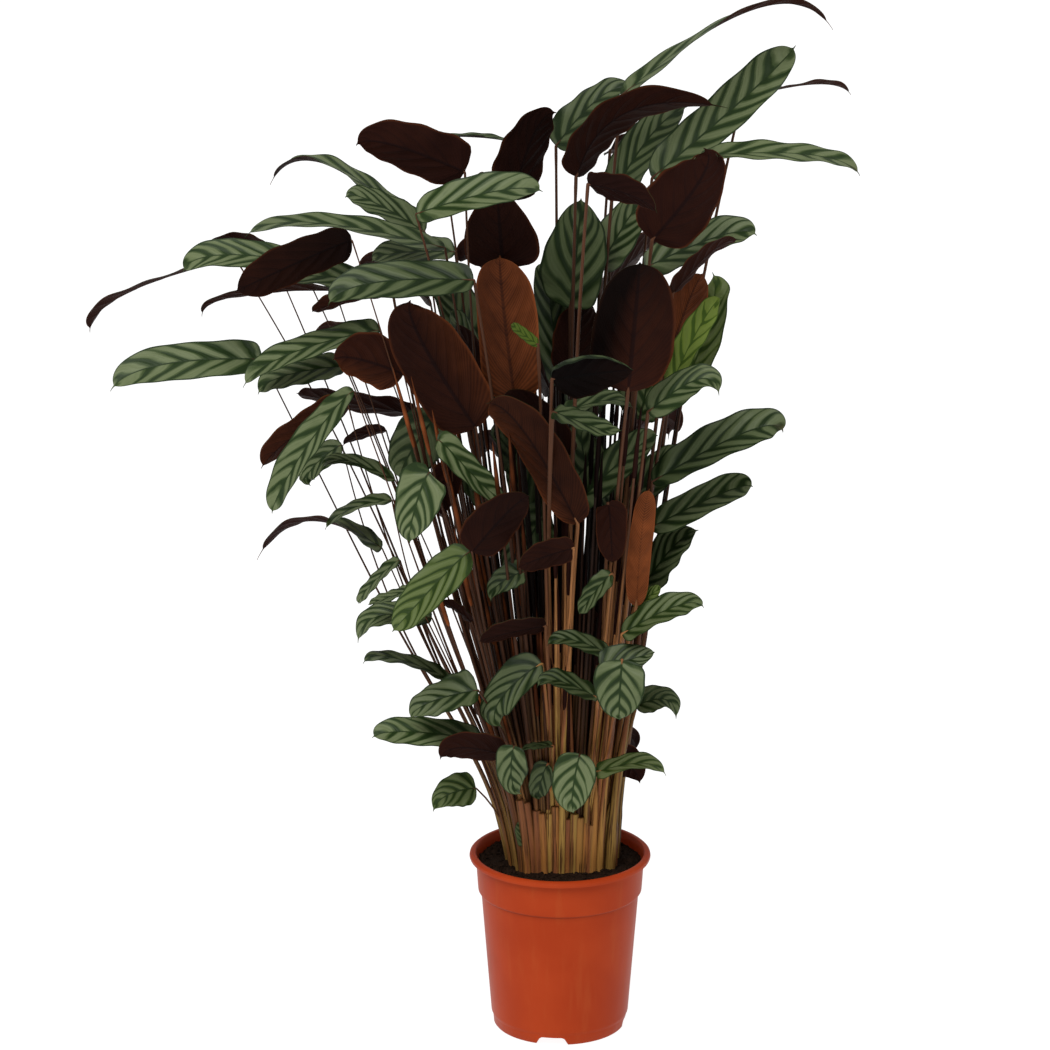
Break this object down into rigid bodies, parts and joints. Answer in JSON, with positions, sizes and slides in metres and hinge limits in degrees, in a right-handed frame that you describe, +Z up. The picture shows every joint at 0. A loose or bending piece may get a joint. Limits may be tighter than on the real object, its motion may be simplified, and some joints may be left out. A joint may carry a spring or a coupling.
{
  "type": "potted prayer plant",
  "caption": "Tall leaning clump of long-stalked patterned oblong leaves, rooted in soil in a round tapered nursery pot with a rolled rim and a notched foot.",
  "frame": {"origin": "on the pot's axis at the plane the foot ring stands on", "axes": "+Z up along the pot's axis, front towards -Y, the clump leans towards -X"},
  "size_m": [0.8616, 0.4682, 1.2054],
  "materials": {
    "pot": "satin",
    "soil": "matte",
    "foliage": "satin"
  },
  "bodies": {
    "root": {"pot": "pot", "soil": "soil", "shoot_01": "foliage", "shoot_02": "foliage", "shoot_03": "foliage", "shoot_04": "foliage", "shoot_05": "foliage", "shoot_06": "foliage", "shoot_07": "foliage", "shoot_08": "foliage", "shoot_09": "foliage", "shoot_10": "foliage", "shoot_11": "foliage", "shoot_12": "foliage", "shoot_13": "foliage", "shoot_14": "foliage", "shoot_15": "foliage", "shoot_16": "foliage", "shoot_17": "foliage", "shoot_18": "foliage", "shoot_19": "foliage", "shoot_20": "foliage", "shoot_21": "foliage", "shoot_22": "foliage", "shoot_23": "foliage", "shoot_24": "foliage", "shoot_25": "foliage", "shoot_26": "foliage", "shoot_27": "foliage", "shoot_28": "foliage", "shoot_29": "foliage", "shoot_30": "foliage", "shoot_31": "foliage", "shoot_32": "foliage", "shoot_33": "foliage", "shoot_34": "foliage", "shoot_35": "foliage", "shoot_36": "foliage", "shoot_37": "foliage", "shoot_38": "foliage", "shoot_39": "foliage", "shoot_40": "foliage", "shoot_41": "foliage"}
  },
  "joints": []
}
